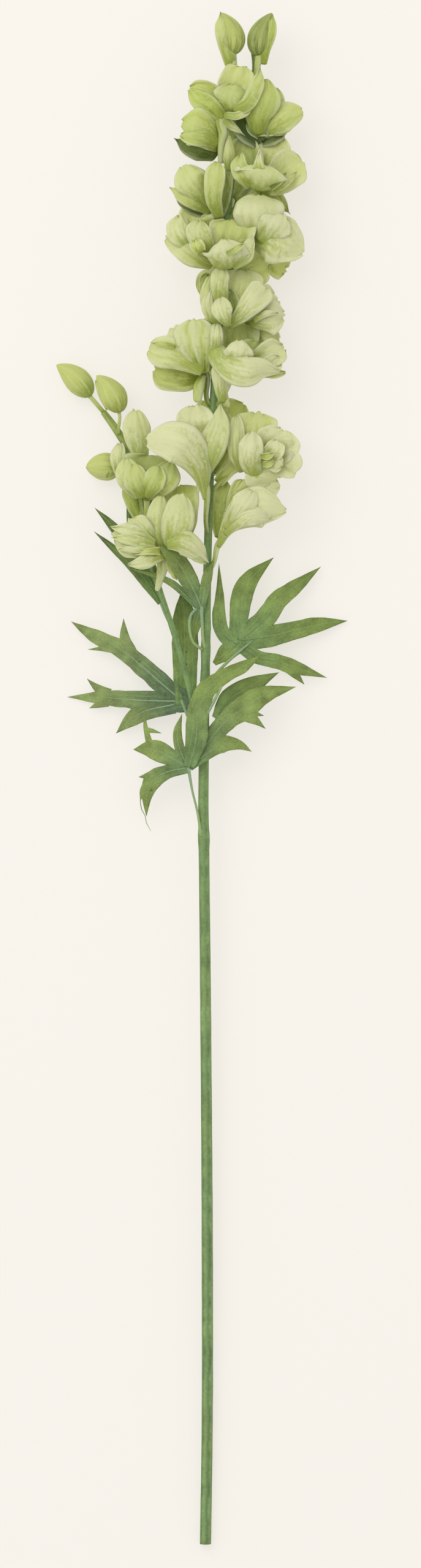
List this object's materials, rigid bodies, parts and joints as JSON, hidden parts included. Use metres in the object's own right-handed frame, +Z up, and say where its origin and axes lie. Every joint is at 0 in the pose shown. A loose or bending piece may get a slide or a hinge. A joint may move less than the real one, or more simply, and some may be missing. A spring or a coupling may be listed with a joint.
{
  "type": "delphinium flower stem",
  "caption": "Cut delphinium stem lying flat: a crowded spike of pale green ruffled florets, closed buds, deeply cut leaves and a long bare stalk.",
  "frame": {"origin": "middle of the underside of the part's bounding box, on the surface it lies on", "axes": "+Y along the stalk from the cut end to the tip, +Z up from the surface, +X to the right of the spike seen from above with the tip away from the viewer"},
  "size_m": [0.1914, 1.0022, 0.0662],
  "materials": {
    "stem": "smooth green stalk",
    "petal": "soft pale green petal",
    "bud": "downy yellow-green bud",
    "leaf": "matt veined leaf"
  },
  "bodies": {
    "root": {"bloom_back_foot": "petal", "bloom_back_lower": "petal", "bloom_back_middle": "petal", "bloom_back_top": "petal", "bloom_back_upper": "petal", "bloom_branch_half": "petal", "bloom_branch_open": "petal", "bloom_centre": "petal", "bloom_centre_right": "petal", "bloom_crown_left": "petal", "bloom_crown_right": "petal", "bloom_lower_left": "petal", "bloom_lower_right": "petal", "bloom_middle_left": "petal", "bloom_shoulder_left": "petal", "bloom_shoulder_right": "petal", "bloom_side_open": "petal", "bloom_trumpet_left": "petal", "bloom_trumpet_right": "petal", "bloom_upper_left": "petal", "bloom_upper_right": "petal", "bud_branch_end": "bud", "bud_branch_low": "bud", "bud_branch_tall": "bud", "bud_branch_upper": "bud", "bud_small": "bud", "bud_tip_left": "bud", "bud_tip_right": "bud", "leaf_branch": "leaf", "leaf_collar": "leaf", "leaf_front": "leaf", "leaf_left": "leaf", "leaf_right": "leaf", "side_branch": "stem", "stem": "stem"}
  },
  "joints": []
}
